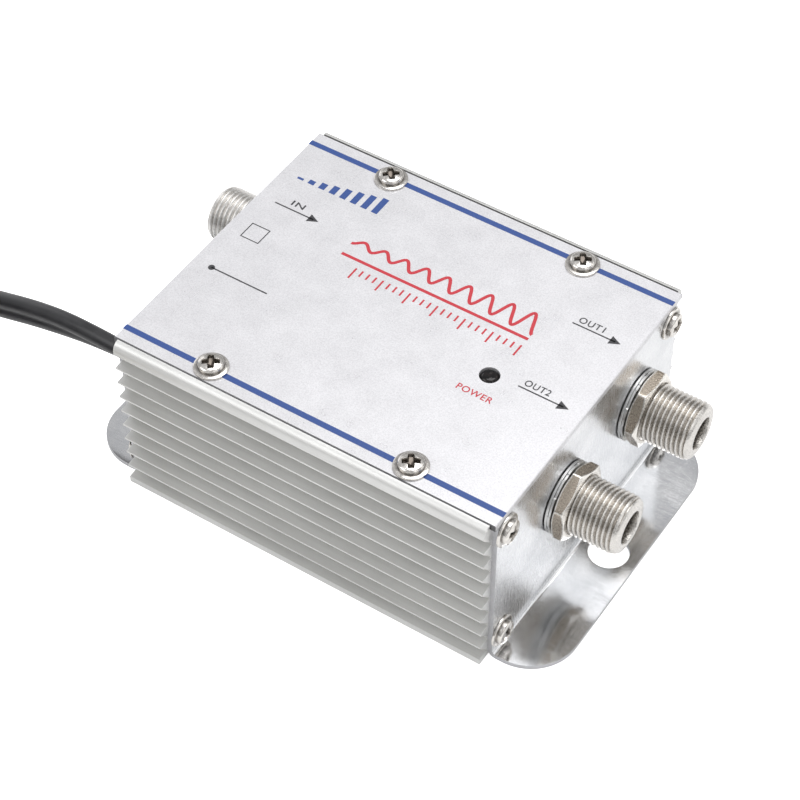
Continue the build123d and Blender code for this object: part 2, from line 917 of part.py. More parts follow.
# Tie round the coil, on the side toward the case
coil_inner = coil_outer - turn_pitch * coil_turns / 2
tie_across = coil_outer - coil_inner + cord_thickness + 2 * tie_gap
tie_rise = cord_width + layer_step + 2 * tie_gap
tie_middle = Vector(
    coil_centre[0] + (coil_outer + coil_inner) / 2, coil_centre[1], tie_thickness + tie_rise / 2
)

with BuildPart() as coil_tie:
    with BuildSketch(Plane(origin=tie_middle, x_dir=(1, 0, 0), z_dir=(0, -1, 0))):
        RectangleRounded(
            tie_across + 2 * tie_thickness,
            tie_rise + 2 * tie_thickness,
            radius=cord_thickness / 2 + tie_thickness,
        )
        RectangleRounded(tie_across, tie_rise, radius=cord_thickness / 2, mode=Mode.SUBTRACT)
    extrude(amount=tie_width / 2, both=True)
    lug_foot = tie_middle + Vector(0, 0, tie_rise / 2 + tie_thickness / 2)
    with BuildSketch(Plane(origin=lug_foot)):
        Rectangle(2 * tie_thickness, tie_width)
    extrude(amount=tie_lug_length)

# Plug
plug_height = 2 * plug_start.Z
plug_body_x = plug_start.X + plug_tail_length
plug_face_x = plug_body_x + plug_length


def across_plug(x):
    """The plane across the plug at a place along X."""
    return Plane(origin=(x, plug_start.Y, plug_start.Z), x_dir=(0, 1, 0), z_dir=(1, 0, 0))


with BuildPart() as plug_body:
    with BuildSketch(across_plug(plug_body_x)):
        RectangleRounded(plug_width, plug_height, radius=plug_corner)
    extrude(amount=plug_length)
    with BuildSketch(across_plug(plug_start.X)):
        add(cord_outline(plug_tail_margin))
    with BuildSketch(across_plug(plug_body_x)):
        add(cord_outline(plug_tail_end_margin))
    loft()
    for side in (-1, 1):
        with BuildSketch(across_plug(plug_face_x + overrun)):
            with Locations((side * blade_spacing / 2, 0)):
                Rectangle(blade_thickness + 2 * slip_gap, blade_width + 2 * slip_gap)
        extrude(amount=-(blade_root + overrun), mode=Mode.SUBTRACT)

with BuildPart() as plug_pins:
    for side in (-1, 1):
        with BuildSketch(across_plug(plug_face_x - blade_root)):
            with Locations((side * blade_spacing / 2, 0)):
                Rectangle(blade_thickness, blade_width)
        extrude(amount=blade_root + blade_length)
    chamfer(plug_pins.faces().sort_by(Axis.X)[-2:].edges(), length=blade_thickness / 4)


# Cord checks: arc radii, tube volume and the coil's least gap to itself
def least_self_gap():
    """The least gap between two points of the coil's middle line that are over half a turn apart."""
    per_turn = 96
    count = round(coil_turns * per_turn)
    points = [coil_wire.position_at(step / count) for step in range(count + 1)]
    upright = (cord_width - cord_thickness) / 2
    least = cord_width
    for first in range(count + 1):
        for second in range(first + per_turn // 2, count + 1):
            apart = points[second] - points[first]
            level = sqrt(apart.X**2 + apart.Y**2)
            rise = max(abs(apart.Z) - 2 * upright, 0)
            least = min(least, sqrt(level**2 + rise**2) - cord_thickness)
    return least


cord_wire = cord_path.wire()
coil_wire = coil_path.wire()
section = cord_outline(0).area
print("cord arc radii, mm:", [round(radius, 1) for radius in cord_radii])
print("cord tube volume share:", power_cord.part.volume / (section * cord_wire.length))
print("coil volume share:", cord_coil.part.volume / (section * coil_wire.length))
print("coil's least gap to itself, mm:", round(least_self_gap(), 3))
print("cord length, mm:", round(cord_wire.length + coil_wire.length, 1))

pieces = {
    "housing": housing,
    "top_cover": top_cover,
    "output_end_plate": output_end_plate,
    "input_end_plate": input_end_plate,
    "cover_screws": cover_screws,
    "output_plate_screws": output_plate_screws,
    "input_plate_screws": input_plate_screws,
    "input_connector_body": input_connector_body,
    "front_output_connector_body": front_output_connector_body,
    "rear_output_connector_body": rear_output_connector_body,
    "connector_flat_washers": connector_flat_washers,
    "connector_lock_washers": connector_lock_washers,
    "connector_nuts": connector_nuts,
    "connector_insulators": connector_insulators,
    "connector_contacts": connector_contacts,
    "power_lamp": power_lamp,
    "power_lamp_leads": power_lamp_leads,
    "circuit_board": circuit_board,
    "board_insulating_sheet": board_insulating_sheet,
    "transformer_core": transformer_core,
    "transformer_bobbin": transformer_bobbin,
    "transformer_windings": transformer_windings,
    "transformer_pins": transformer_pins,
    "rectifier_diodes": rectifier_diodes,
    "input_fuse": input_fuse,
    "resistors": resistors,
    "smoothing_capacitors": smoothing_capacitors,
    "ceramic_capacitors": ceramic_capacitors,
    "voltage_regulator": voltage_regulator,
    "amplifier_transistors": amplifier_transistors,
    "rf_coils": rf_coils,
    "splitter_core": splitter_core,
    "cord_grommet": cord_grommet,
    "cord_leads": cord_leads,
    "power_cord": power_cord,
    "cord_coil": cord_coil,
    "coil_tie": coil_tie,
    "plug_body": plug_body,
    "plug_pins": plug_pins,
}

os.makedirs("parts", exist_ok=True)
for node, piece in pieces.items():
    piece.part.label = node
    export_step(piece.part, f"parts/{node}.step")
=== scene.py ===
from math import cos, exp, hypot, pi, radians, sin, sqrt

import bpy
from mathutils import Matrix, Vector


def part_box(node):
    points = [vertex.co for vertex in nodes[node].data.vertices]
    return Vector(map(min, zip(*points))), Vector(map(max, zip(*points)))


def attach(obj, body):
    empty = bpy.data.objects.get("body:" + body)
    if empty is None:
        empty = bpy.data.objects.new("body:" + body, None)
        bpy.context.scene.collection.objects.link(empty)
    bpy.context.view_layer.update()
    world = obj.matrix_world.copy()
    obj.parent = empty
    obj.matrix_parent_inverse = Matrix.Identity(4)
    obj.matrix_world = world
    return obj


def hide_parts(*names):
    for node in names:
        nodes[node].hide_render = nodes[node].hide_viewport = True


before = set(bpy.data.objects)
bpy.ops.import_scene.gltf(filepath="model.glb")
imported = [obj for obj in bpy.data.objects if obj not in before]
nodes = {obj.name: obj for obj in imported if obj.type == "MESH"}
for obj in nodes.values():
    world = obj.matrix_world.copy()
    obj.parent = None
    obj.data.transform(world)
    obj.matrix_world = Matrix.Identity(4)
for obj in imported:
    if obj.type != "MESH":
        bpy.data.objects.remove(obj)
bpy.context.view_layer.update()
MM = 0.001


def mm(*values):
    """A point or a size in metres from its millimetres."""
    return Vector([value * MM for value in values])


# Camera: the photograph's own, found from the case's corners, screws and flanges
CAMERA_AZIMUTH = 33.112
CAMERA_ELEVATION = 48.196
CAMERA_PLACE = mm(134.707, -206.706, 288.305)
CAMERA_LENS = 106.83
CAMERA_SENSOR = 36.0


def add_camera():
    azimuth, elevation = radians(CAMERA_AZIMUTH), radians(CAMERA_ELEVATION)
    back = Vector((sin(azimuth) * cos(elevation), -cos(azimuth) * cos(elevation), sin(elevation)))
    camera = bpy.data.objects.new("camera", bpy.data.cameras.new("camera"))
    camera.data.lens = CAMERA_LENS
    camera.data.sensor_width = CAMERA_SENSOR
    camera.location = CAMERA_PLACE
    camera.rotation_mode = "QUATERNION"
    camera.rotation_quaternion = (-back).to_track_quat("-Z", "Y")
    camera.data.clip_start, camera.data.clip_end = 0.01, 20.0
    bpy.context.scene.collection.objects.link(camera)
    bpy.context.scene.camera = camera
    bpy.context.scene.view_settings.view_transform = "Standard"


add_camera()


# Material helpers
class Surface:
    """A material's node tree, with short calls for the nodes that the finishes use."""

    def __init__(self, name, **values):
        self.material = bpy.data.materials.new(name)
        self.material.use_nodes = True
        self.tree = self.material.node_tree
        self.shader = self.tree.nodes["Principled BSDF"]
        for socket, value in values.items():
            self.shader.inputs[socket.replace("_", " ")].default_value = value

    def node(self, kind, **settings):
        made = self.tree.nodes.new(kind)
        for name, value in settings.items():
            setattr(made, name, value)
        return made

    def link(self, source, target):
        self.tree.links.new(source, target)

    def place(self, scale=(1, 1, 1), offset=(0, 0, 0)):
        """Object coordinates in millimetres, stretched by a scale."""
        coordinates = self.node("ShaderNodeTexCoord")
        mapping = self.node("ShaderNodeMapping")
        mapping.inputs["Scale"].default_value = [value / MM for value in scale]
        mapping.inputs["Location"].default_value = offset
        self.link(coordinates.outputs["Object"], mapping.inputs["Vector"])
        return mapping.outputs["Vector"]

    def noise(self, scale=(1, 1, 1), detail=3.0, roughness=0.55, offset=(0, 0, 0)):
        """Noise whose grain is about one over the scale, in millimetres."""
        texture = self.node("ShaderNodeTexNoise")
        texture.inputs["Scale"].default_value = 1.0
        texture.inputs["Detail"].default_value = detail
        texture.inputs["Roughness"].default_value = roughness
        self.link(self.place(scale, offset), texture.inputs["Vector"])
        return texture.outputs["Fac"]

    def ramp(self, source, *stops):
        """A ramp of (position, colour or grey) stops."""
        made = self.node("ShaderNodeValToRGB")
        while len(made.color_ramp.elements) < len(stops):
            made.color_ramp.elements.new(0.5)
        for element, (position, colour) in zip(made.color_ramp.elements, stops):
            element.position = position
            element.color = (*colour, 1) if isinstance(colour, tuple) else (colour, colour, colour, 1)
        self.link(source, made.inputs["Fac"])
        return made.outputs["Color"]

    def mix(self, factor, first, second, blend="MIX"):
        """Two colours mixed, each a socket or a fixed colour."""
        made = self.node("ShaderNodeMix", data_type="RGBA", blend_type=blend)
        for socket, value in zip((made.inputs[0], made.inputs[6], made.inputs[7]), (factor, first, second)):
            if isinstance(value, bpy.types.NodeSocket):
                self.link(value, socket)
            else:
                socket.default_value = (*value, 1) if isinstance(value, tuple) else value
        return made.outputs[2]

    def attribute(self, name):
        return self.node("ShaderNodeAttribute", attribute_name=name).outputs["Fac"]

    def beyond(self, axis, limit_mm):
        """One where a point is further than the limit from the middle plane across an axis."""
        split = self.node("ShaderNodeSeparateXYZ")
        away = self.node("ShaderNodeMath", operation="ABSOLUTE")
        past = self.node("ShaderNodeMath", operation="GREATER_THAN")
        past.inputs[1].default_value = limit_mm
        self.link(self.place(), split.inputs["Vector"])
        self.link(split.outputs[axis], away.inputs[0])
        self.link(away.outputs["Value"], past.inputs[0])
        return past.outputs["Value"]

    def colour(self, source):
        self.link(source, self.shader.inputs["Base Color"])

    def rough(self, source):
        self.link(source, self.shader.inputs["Roughness"])

    def bump(self, source, strength, distance_mm):
        made = self.node("ShaderNodeBump")
        made.inputs["Strength"].default_value = strength
        made.inputs["Distance"].default_value = distance_mm * MM
        self.link(source, made.inputs["Height"])
        normal = self.shader.inputs["Normal"]
        if normal.is_linked:
            self.link(normal.links[0].from_socket, made.inputs["Normal"])
        self.link(made.outputs["Normal"], normal)


# Where the cover's long edges, painted dark as the shadow in the gap beside the lip, and the plates' duller
# upright faces begin
PAINTED_GAP_SHADOW_START_MM = 26.83
PAINTED_GAP_SHADOW_TONE = (0.10, 0.10, 0.105)
UPRIGHT_START_MM = 0.85
# The floor's colour, and its glow as the camera and as bare metal see it
FLOOR_TONE = 0.75
FLOOR_GLOW = 0.85
FLOOR_GLOW_REFLECTED = 0.32


def cover_finish():
    """Silver print on sheet: cool, satin, with a fine grain and faint dust marks. Its long edges carry a
    painted shadow, dark for the shade in the narrow gap beside the lip.
    """
    made = Surface("cover_silver", Metallic=0.4, Roughness=0.32)
    grain = made.noise((4.5, 4.5, 4.5), detail=3.0, roughness=0.75)
    cloud = made.noise((0.06, 0.06, 0.06), detail=2.0)
    base = made.ramp(cloud, (0.35, (0.785, 0.78, 0.80)), (0.65, (0.805, 0.80, 0.82)))
    fine = made.ramp(grain, (0.34, 0.80), (0.62, 1.0))
    specks = made.ramp(made.noise((4, 4, 4), detail=0.0, offset=(7, 3, 1)), (0.12, 0.93), (0.17, 1.0))
    silver = made.mix(1.0, made.mix(1.0, base, fine, "MULTIPLY"), specks, "MULTIPLY")
    # Painted shadow: the cover's long edges are coloured dark for the shade in the gap beside the lip.
    made.colour(made.mix(made.beyond("Y", PAINTED_GAP_SHADOW_START_MM), silver, PAINTED_GAP_SHADOW_TONE))
    made.rough(made.ramp(made.noise((0.3, 0.3, 0.3)), (0.3, 0.27), (0.7, 0.37)))
    made.bump(grain, 0.10, 0.02)
    return made.material


def case_finish():
    """Drawn and anodised aluminium: satin, with faint lines along X."""
    made = Surface("case_aluminium", Metallic=0.75, Roughness=0.5)
    lines = made.noise((0.05, 9, 9), detail=4.0, roughness=0.7)
    cloud = made.noise((0.08, 0.3, 0.3), detail=2.0)
    base = made.ramp(cloud, (0.3, (0.70, 0.70, 0.685)), (0.7, (0.76, 0.76, 0.745)))
    made.colour(made.mix(1.0, base, made.ramp(lines, (0.25, 0.88), (0.75, 1.0)), "MULTIPLY"))
    made.rough(made.ramp(lines, (0.3, 0.40), (0.7, 0.55)))
    made.bump(lines, 0.12, 0.02)
    return made.material


def plate_finish():
    """Bright rolled sheet, clouded and scratched: nearly a mirror on the flange, duller where upright."""
    made = Surface("plate_aluminium", Metallic=1.0, Roughness=0.14)
    cloud = made.noise((0.16, 0.16, 0.16), detail=4.0, roughness=0.6)
    scratches = made.noise((7.0, 7.0, 0.35), detail=5.0, roughness=0.75)
    level_scratches = made.noise((0.35, 7.0, 7.0), detail=5.0, roughness=0.75, offset=(5, 2, 9))
    both = made.mix(0.5, scratches, level_scratches)
    base = made.ramp(cloud, (0.35, (0.72, 0.73, 0.745)), (0.65, (0.84, 0.845, 0.855)))
    made.colour(made.mix(1.0, base, made.ramp(both, (0.38, 0.86), (0.58, 1.0)), "MULTIPLY"))
    clouded = made.ramp(cloud, (0.35, 0.06), (0.7, 0.14))
    scratched = made.ramp(both, (0.42, 0.04), (0.58, 0.34))
    flange = made.mix(0.4, clouded, scratched)
    upright = made.ramp(both, (0.40, 0.17), (0.60, 0.36))
    made.rough(made.mix(made.beyond("Z", UPRIGHT_START_MM), flange, upright))
    made.bump(made.noise((0.10, 0.10, 0.10), detail=1.0, offset=(3, 8, 2)), 0.25, 0.35)
    made.bump(both, 0.10, 0.01)
    return made.material


def nickel_finish(name, light, dark, roughness, grain_mm, bump):
    """Nickel plate with a fine uneven grain. Painted shade and highlight: darker and browner where the
    per-vertex shading value is low, in thread roots, recesses and creases, and lighter where it is high, on
    crests and edges.
    """
    made = Surface(name, Metallic=1.0, Roughness=roughness)
    grain = made.noise((1 / grain_mm,) * 3, detail=4.0, roughness=0.65)
    # Painted shade and highlight, taken from the per-vertex shading value.
    tone = made.ramp(made.attribute("painted_shading"), (0.0, dark), (0.85, light))
    made.colour(made.mix(1.0, tone, made.ramp(grain, (0.32, 0.72), (0.66, 1.0)), "MULTIPLY"))
    made.rough(made.ramp(grain, (0.3, max(roughness - 0.08, 0.03)), (0.7, roughness + 0.10)))
    made.bump(grain, bump, grain_mm / 4)
    return made.material


def plain_finish(name, colour, roughness, metallic=0.0, grain_mm=0.3, bump=0.15, spread=0.82):
    """A moulded, sintered or plated finish with slight changes of tone."""
    made = Surface(name, Metallic=metallic, Roughness=roughness)
    grain = made.noise((1 / grain_mm,) * 3, detail=3.0)
    dark = tuple(value * spread for value in colour)
    made.colour(made.ramp(grain, (0.3, dark), (0.7, colour)))
    made.rough(made.ramp(grain, (0.3, roughness * 0.85), (0.7, min(roughness * 1.15, 1.0))))
    made.bump(grain, bump, grain_mm / 5)
    return made.material


def lens_finish():
    """Smoked lamp lens, almost black, with a hard gloss."""
    made = Surface("lamp_lens", Roughness=0.09, Specular_IOR_Level=0.28)
    cloud = made.noise((1.2, 1.2, 1.2), detail=2.0)
    made.colour(made.ramp(cloud, (0.35, (0.004, 0.004, 0.005)), (0.65, (0.016, 0.012, 0.012))))
    made.bump(made.noise((0.8, 0.8, 0.8), detail=1.0), 0.6, 0.25)
    return made.material


def cord_finish():
    """Black plastic sheath: satin, with fine drawn lines and soft scuffs."""
    made = Surface("cord_black", Roughness=0.42)
    scuff = made.noise((0.35, 0.35, 0.35), detail=4.0, roughness=0.6)
    grain = made.noise((5, 5, 5), detail=2.0)
    made.colour(made.ramp(scuff, (0.3, (0.016, 0.016, 0.018)), (0.75, (0.030, 0.030, 0.033))))
    made.rough(made.ramp(scuff, (0.3, 0.34), (0.7, 0.50)))
    made.bump(grain, 0.12, 0.02)
    return made.material


def ink_finish(name, colour):
    """Screen print, with tiny gaps in its tone."""
    made = Surface(name, Roughness=0.45)
    grain = made.noise((6, 6, 6), detail=2.0)
    light = tuple(min(value * 1.25 + 0.02, 1.0) for value in colour)
    made.colour(made.ramp(grain, (0.35, colour), (0.75, light)))
    made.bump(grain, 0.05, 0.01)
    return made.material


def floor_finish():
    """Pale floor that shows white, yet keeps a soft shadow, and lights the object as a pale floor does."""
    made = Surface("floor", Roughness=0.9)
    made.shader.inputs["Base Color"].default_value = (FLOOR_TONE, FLOOR_TONE, FLOOR_TONE, 1)
    made.shader.inputs["Specular IOR Level"].default_value = 0.0
    made.shader.inputs["Emission Color"].default_value = (1, 1, 1, 1)
    path = made.node("ShaderNodeLightPath")

    def glow(ray, level):
        product = made.node("ShaderNodeMath", operation="MULTIPLY")
        made.link(path.outputs[ray], product.inputs[0])
        product.inputs[1].default_value = level
        return product.outputs[0]

    strength = glow("Is Camera Ray", FLOOR_GLOW)
    for ray, level in (("Is Glossy Ray", FLOOR_GLOW_REFLECTED), ("Is Transmission Ray", FLOOR_GLOW)):
        larger = made.node("ShaderNodeMath", operation="MAXIMUM")
        made.link(strength, larger.inputs[0])
        made.link(glow(ray, level), larger.inputs[1])
        strength = larger.outputs[0]
    made.link(strength, made.shader.inputs["Emission Strength"])
    return made.material


COVER = cover_finish()
CASE = case_finish()
PLATE = plate_finish()
# Painted light: the input socket has the same plating as the output sockets, here given lighter tones for the
# light that falls on it.
PAINTED_LIT_SOCKET = nickel_finish("painted_lit_socket_nickel", (0.90, 0.885, 0.86), (0.64, 0.615, 0.58), 0.34, 0.35, 0.3)
SOCKET = nickel_finish("socket_nickel", (0.76, 0.735, 0.70), (0.42, 0.385, 0.34), 0.26, 0.30, 0.6)
NUT = nickel_finish("nut_nickel", (0.93, 0.90, 0.85), (0.50, 0.425, 0.34), 0.26, 0.25, 0.45)
PLATE_RIM = plain_finish("plate_rim", (0.55, 0.55, 0.57), 0.42, metallic=0.9)
WASHER = plain_finish(
    "washer_zinc", (0.70, 0.70, 0.69), 0.34, metallic=1.0, grain_mm=0.8, bump=0.01, spread=0.93
)
# The screw's dark tone, nearly black, is the painted shade of the cross recess and of the creases round the
# rim.
SCREW = nickel_finish("screw_nickel", (0.80, 0.77, 0.73), (0.07, 0.056, 0.045), 0.19, 0.5, 0.06)
CORD = cord_finish()
INK = {
    "dark": ink_finish("ink_dark", (0.030, 0.030, 0.034)),
    "red": ink_finish("ink_red", (0.48, 0.020, 0.034)),
    "blue": ink_finish("ink_blue", (0.018, 0.060, 0.235)),
}


# Mesh helpers
class Shell:
    """Vertices and faces gathered for one piece, with a painted shading value kept at each vertex: low for
    painted shade in hollows, high for painted highlights on crests and edges.
    """

    def __init__(self):
        self.points, self.faces, self.painted_shading = [], [], []

    def grid(self, rows, values, place, closed_across=False):
        """A grid of rows of points. Each row closes on itself, and the last row on the first where asked."""
        start, width = len(self.points), len(rows[0])
        for row, row_values in zip(rows, values):
            self.points += [place @ Vector(point) for point in row]
            self.painted_shading += row_values
        count = len(rows)
        for i in range(count if closed_across else count - 1):
            for j in range(width):
                a, b = i * width, (i + 1) % count * width
                k = (j + 1) % width
                self.faces.append((start + a + j, start + a + k, start + b + k, start + b + j))

    def fan(self, row, centre, value, place, flip=False):
        """Closes the last or first row of a grid onto a centre point."""
        self.points.append(place @ Vector(centre))
        self.painted_shading.append(value)
        tip = len(self.points) - 1
        for j in range(len(row)):
            first, second = row[j], row[(j + 1) % len(row)]
            self.faces.append((second, first, tip) if flip else (first, second, tip))

    def plate(self, outline, low, high):
        """A flat plate of an outline, a list of (x, y), between two heights."""
        start, count = len(self.points), len(outline)
        self.points += [Vector((x, y, low)) for x, y in outline]
        self.points += [Vector((x, y, high)) for x, y in outline]
        self.painted_shading += [1.0] * (2 * count)
        self.faces.append(tuple(start + i for i in reversed(range(count))))
        self.faces.append(tuple(start + count + i for i in range(count)))
        for i in range(count):
            k = (i + 1) % count
            self.faces.append((start + i, start + k, start + count + k, start + count + i))

    def piece(self, name, material, smooth_degrees=30.0):
        mesh = bpy.data.meshes.new(name)
        mesh.from_pydata(self.points, [], self.faces)
        mesh.materials.append(material)
        mesh.attributes.new("painted_shading", "FLOAT", "POINT").data.foreach_set("value", self.painted_shading)
        mesh.polygons.foreach_set("use_smooth", [True] * len(mesh.polygons))
        mesh.update()
        mesh.set_sharp_from_angle(angle=radians(smooth_degrees))
        made = bpy.data.objects.new(name, mesh)
        bpy.context.scene.collection.objects.link(made)
        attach(made, "root")
        return made


def ring(radius_of, height_of, count):
    """One row of points round Z, with a radius and a height for each angle."""
    row = []
    for j in range(count):
        angle = 2 * pi * j / count
        radius = radius_of(angle)
        row.append((radius * cos(angle), radius * sin(angle), height_of(angle)))
    return row


def facing(side, y, z, start):
    """The place of a piece whose Z points out of an end of the case, its X along the case's Y."""
    axes = Matrix(((0, 0, side), (1, 0, 0), (0, side, 0))).to_4x4()
    return Matrix.Translation((side * start, y, z)) @ axes


# Mains cord: one smooth curve through the part's own route, then the coil's turns
CORD_WIDTH = 4.8 * MM
CORD_THICKNESS = 2.8 * MM
CORD_GROOVE = 0.30 * MM
CORD_GROOVE_WIDTH = 0.42 * MM
CORD_PROFILE_STEPS = 28
RELIEF_END = mm(-39.25, -18.3, 17.0)
CORD_ROUTE = (
    (-45.0, -18.3, 17.0),
    (-52.5, -17.9, 15.7),
    (-60.0, -17.1, 13.1),
    (-67.7, -16.0, 9.6),
    (-75.5, -14.5, 5.9),
    (-82.5, -13.4, 3.6),
    (-87.4, -13.0, 2.85),
    (-92.2, -13.0, 2.85),
)
COIL_CENTRE = mm(-97.0, -39.3, 2.85)
COIL_OUTER = 26.3 * MM
COIL_TURNS = 6.5
TURN_PITCH = 3.35 * MM
LAYER_STEP = 5.35 * MM
CLIMB_TURNS = 0.5
COIL_STEPS = 16
PLUG_START = mm(-86.0, -65.6, 8.2)
EXIT_LEAN = -37.0
LEAN_SHARES = (1.0, 0.7, 0.15)


def coil_point(turns, widen):
    """A point of the coil after so many turns, on a radius widened for a spline's control points."""
    half = COIL_TURNS / 2
    radius = COIL_OUTER - TURN_PITCH * (half - abs(turns - half))
    angle = pi / 2 + 2 * pi * turns
    climb = min(max((turns - half) / CLIMB_TURNS + 0.5, 0), 1)
    rise = LAYER_STEP * (1 - cos(pi * climb)) / 2
    return COIL_CENTRE + Vector((radius * widen * cos(angle), radius * widen * sin(angle), rise))


def cord_profile():
    """The flat section: two round cores side by side with a shallow groove between them."""
    lobe, middle = CORD_THICKNESS / 2, (CORD_WIDTH - CORD_THICKNESS) / 2
    side = []
    for step in range(CORD_PROFILE_STEPS + 1):
        height = -CORD_WIDTH / 2 * cos(pi * step / CORD_PROFILE_STEPS)
        beyond = max(abs(height) - middle, 0)
        groove = CORD_GROOVE * exp(-((height / CORD_GROOVE_WIDTH) ** 2))
        side.append((height, sqrt(max(lobe * lobe - beyond * beyond, 0)) - groove))
    outline = side + [(height, -half) for height, half in reversed(side[1:-1])]
    curve = bpy.data.curves.new("cord_section", "CURVE")
    curve.dimensions = "2D"
    spline = curve.splines.new("POLY")
    spline.points.add(len(outline) - 1)
    for point, (height, half) in zip(spline.points, outline):
        point.co = (half, height, 0, 1)
    spline.use_cyclic_u = True
    made = bpy.data.objects.new("cord_section", curve)
    bpy.context.scene.collection.objects.link(made)
    made.hide_render = made.hide_viewport = True
    return made


def add_cord():
    points = [RELIEF_END] + [mm(*point) for point in CORD_ROUTE]
    leans = [EXIT_LEAN * share for share in LEAN_SHARES]
    widen = 1 / cos(pi / COIL_STEPS)
    coil_steps = round(COIL_TURNS * COIL_STEPS)
    points += [coil_point(step / COIL_STEPS, widen) for step in range(coil_steps + 1)]
    points.append(PLUG_START)
    leans += [0.0] * (len(points) - len(leans))
    curve = bpy.data.curves.new("power_cord_sheath", "CURVE")
    curve.dimensions = "3D"
    curve.twist_mode = "Z_UP"
    curve.resolution_u = 6
    spline = curve.splines.new("NURBS")
    spline.points.add(len(points) - 1)
    for point, place, lean in zip(spline.points, points, leans):
        point.co = (*place, 1)
        point.tilt = radians(lean)
    spline.order_u = 3
    spline.use_endpoint_u = True
    curve.bevel_mode = "OBJECT"
    curve.bevel_object = cord_profile()
    curve.use_fill_caps = True
    curve.materials.append(CORD)
    cord = bpy.data.objects.new("power_cord_sheath", curve)
    bpy.context.scene.collection.objects.link(cord)
    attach(cord, "root")
    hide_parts("power_cord", "cord_coil")


add_cord()

# Threaded sockets, which stand for the plain ones: the thread is a real helix
PORT_HEIGHT = 18.2 * MM
PORTS = (("input", -1, 14.5 * MM), ("front_output", 1, -7.0 * MM), ("rear_output", 1, 14.7 * MM))
CASE_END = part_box("housing")[1].x
THREAD_RADIUS = 4.7625 * MM
THREAD_PITCH = 25.4 / 32 * MM
THREAD_DEPTH = 0.34 * MM
THREAD_START = 3.6 * MM
THREAD_ROOT_SHARE = 0.10
THREAD_FLANK_SHARE = 0.72
THREAD_TURNS = (0.4, 2.1, 4.4)
NOSE_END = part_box("front_output_connector_body")[1].x - CASE_END
NOSE_LENGTH = 1.60 * MM
NOSE_RADIUS = 3.55 * MM
MOUTH_RADIUS = 2.65 * MM
MOUTH_ROUND = 0.22 * MM
MOUTH_DEPTH = 1.2 * MM
COLLAR_RADIUS = 6.4 * MM
COLLAR_BACK = -2.0 * MM
TAIL_RADIUS = 3.8 * MM
TAIL_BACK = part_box("front_output_connector_body")[0].x - CASE_END
THREAD_SIDES = 144
ROWS_PER_PITCH = 14


def thread_height(turn):
    """The thread's height, from 0 in the root to 1 on the crest, for a share of one pitch."""
    slope = 1 - abs(2 * (turn % 1) - 1)
    return min(max((slope - THREAD_ROOT_SHARE) / THREAD_FLANK_SHARE, 0), 1)


def nose_radius(height):
    """The rounded taper at the socket's end."""
    share = min(max((height - (NOSE_END - NOSE_LENGTH)) / NOSE_LENGTH, 0), 1)
    return NOSE_RADIUS + (THREAD_RADIUS - NOSE_RADIUS) * sqrt(1 - share * share)


def add_socket(label, side, y, turn):
    shell = Shell()
    place = facing(side, y, PORT_HEIGHT, CASE_END)
    rows, values = [], []

    def plain(radius, height, value):
        rows.append(ring(lambda angle: radius, lambda angle: height, THREAD_SIDES))
        values.append([value] * THREAD_SIDES)

    for radius, height in (
        (MOUTH_RADIUS, TAIL_BACK),
        (TAIL_RADIUS, TAIL_BACK),
        (TAIL_RADIUS, COLLAR_BACK),
        (COLLAR_RADIUS, COLLAR_BACK),
        (COLLAR_RADIUS, 0),
        (THREAD_RADIUS - THREAD_DEPTH, 0),
    ):
        plain(radius, height, 0.6)
    step = THREAD_PITCH / ROWS_PER_PITCH
    count = int((NOSE_END - 0.25 * MM - THREAD_START) / step)
    for number in range(count + 1):
        height = THREAD_START + number * step
        row, row_values = [], []
        for j in range(THREAD_SIDES):
            angle = 2 * pi * j / THREAD_SIDES
            rise = thread_height(height / THREAD_PITCH - (angle + turn) / (2 * pi))
            radius = min(THREAD_RADIUS - THREAD_DEPTH * (1 - rise), nose_radius(height))
            on_nose = nose_radius(height) <= radius + 1e-7 and height > NOSE_END - NOSE_LENGTH
            row.append((radius * cos(angle), radius * sin(angle), height))
            # Painted shade and highlight: thread roots dark, crests and the rounded nose light.
            row_values.append(1.0 if on_nose else rise)
        rows.append(row)
        values.append(row_values)
    for radius, height in (
        (NOSE_RADIUS - 0.02 * MM, NOSE_END - 0.10 * MM),
        (NOSE_RADIUS - 0.16 * MM, NOSE_END),
        (MOUTH_RADIUS + MOUTH_ROUND, NOSE_END),
        (MOUTH_RADIUS + MOUTH_ROUND * 0.3, NOSE_END - MOUTH_ROUND * 0.3),
        (MOUTH_RADIUS, NOSE_END - MOUTH_ROUND),
    ):
        plain(radius, height, 1.0)
    # Painted shade inside the socket's mouth.
    plain(MOUTH_RADIUS, NOSE_END - MOUTH_DEPTH, 0.25)
    shell.grid(rows, values, place, closed_across=True)
    # The input socket takes the lighter, painted-light copy of the plating.
    socket = shell.piece(label + "_threaded_socket", PAINTED_LIT_SOCKET if label == "input" else SOCKET, 50.0)
    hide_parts(label + "_connector_body")


for (label, side, y), turn in zip(PORTS, THREAD_TURNS):
    add_socket(label, side, y, turn)

# Hexagon nuts with rounded corners and both ends chamfered
NUT_SEAT = 1.86 * MM
NUT_THICKNESS = 2.14 * MM
NUT_ACROSS = 11.0 * MM
NUT_BORE = 4.62 * MM
NUT_CHAMFER = 0.45 * MM
NUT_CHAMFER_REACH = 0.95 * MM
NUT_TURNS = (10.0, 33.0, 57.0)
NUT_BORE_CHAMFER = 0.3 * MM
NUT_EDGE = 0.11 * MM
NUT_CORNER = NUT_ACROSS / 2 / cos(pi / 6)
NUT_CORNER_CUT = 0.10 * MM
NUT_SIDES = 180


def hexagon_radius(angle):
    """The radius of a hexagon with slightly rounded corners, with a corner at angle 0."""
    from_flat = (angle % (pi / 3)) - pi / 6
    sharp = NUT_ACROSS / 2 / cos(from_flat)
    return min(sharp, NUT_CORNER - NUT_CORNER_CUT)


